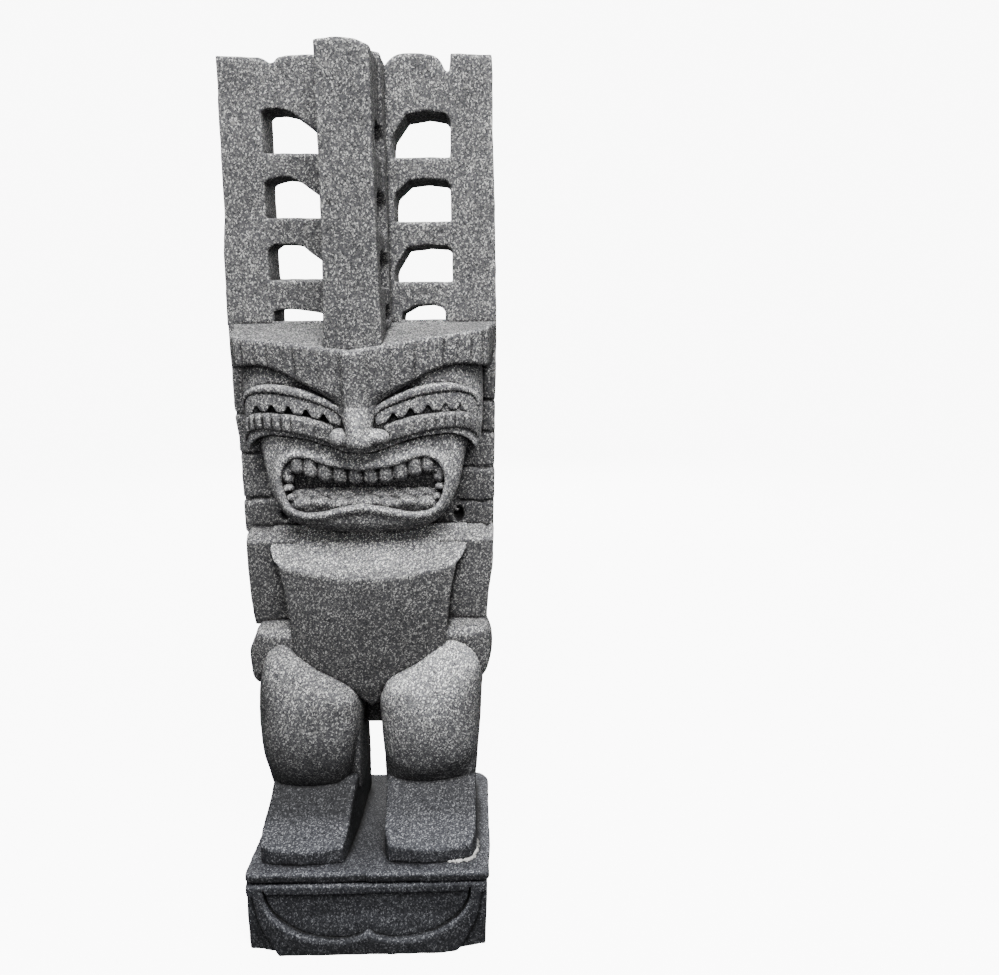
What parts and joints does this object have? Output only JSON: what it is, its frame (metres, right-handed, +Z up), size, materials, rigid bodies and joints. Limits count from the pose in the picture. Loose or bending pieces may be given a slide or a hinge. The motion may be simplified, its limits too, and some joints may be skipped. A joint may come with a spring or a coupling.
{
  "type": "tiki figure",
  "caption": "Carved volcanic-stone tiki figure standing on a relief-cut plinth, with a broad browed face, bared teeth and a tall openwork crest.",
  "frame": {"origin": "on the ground, under the middle of the bounding box", "axes": "+Z up through the crest, the face looks along -Y, +X to the right of someone looking at the face"},
  "size_m": [0.458, 0.32, 1.5],
  "materials": {
    "stone": "rough chiselled grey volcanic stone with pale and dark mineral grain and small pits",
    "damp_stone": "the same stone, darker and bluer where ground damp rises through the plinth and feet",
    "mortar": "pale lime mortar, rough",
    "steel": "plain stainless bar, hidden"
  },
  "bodies": {
    "root": {"plinth_block": "damp_stone", "plinth_cap": "damp_stone", "left_foot": "damp_stone", "right_foot": "damp_stone", "left_foot_mortar": "mortar", "right_foot_mortar": "mortar", "left_leg": "stone", "right_leg": "stone", "torso": "stone", "back_slab": "stone", "left_arm": "stone", "right_arm": "stone", "left_hand": "stone", "right_hand": "stone", "head": "stone", "brow_and_nose": "stone", "upper_teeth": "stone", "tongue": "stone", "left_upper_eyelid": "stone", "left_eye_band": "stone", "left_lower_eyelid": "stone", "left_crest_panel": "stone", "left_leg_dowel": "steel", "left_crest_dowel": "steel", "right_upper_eyelid": "stone", "right_eye_band": "stone", "right_lower_eyelid": "stone", "right_crest_panel": "stone", "right_leg_dowel": "steel", "right_crest_dowel": "steel", "crest_ridge": "stone", "head_dowel": "steel", "torso_dowel": "steel"}
  },
  "joints": []
}
